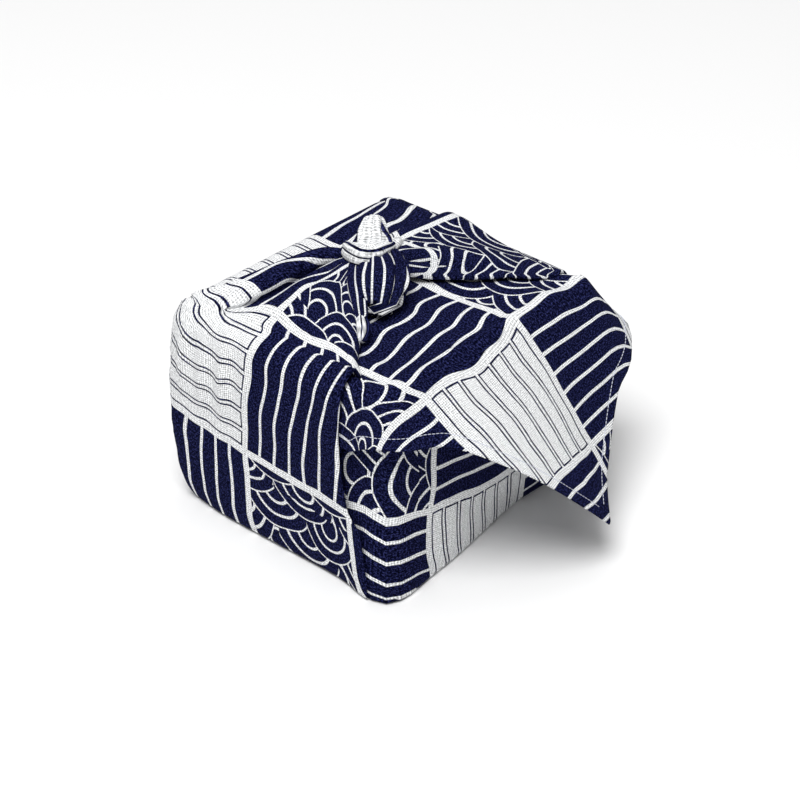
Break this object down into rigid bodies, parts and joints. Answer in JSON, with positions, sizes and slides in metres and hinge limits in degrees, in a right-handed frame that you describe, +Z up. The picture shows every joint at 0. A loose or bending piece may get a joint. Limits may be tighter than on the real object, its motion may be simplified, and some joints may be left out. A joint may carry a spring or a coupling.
{
  "type": "furoshiki wrap",
  "caption": "Square cotton wrapping cloth folded round a box-shaped parcel and tied in a square knot on top, hollow inside.",
  "frame": {"origin": "middle of the wrapped body's base, on the surface that it rests on", "axes": "+Z up; +X out of the side that the free corner of the cloth hangs over; -Y and +Y out of the sides that the two ties come from"},
  "size_m": [0.1641, 0.1431, 0.1119],
  "materials": {
    "cotton_print": "matte plain-weave cotton, navy with off-white printed lines and panels"
  },
  "bodies": {
    "root": {"furoshiki_cloth": "cotton_print"}
  },
  "joints": []
}
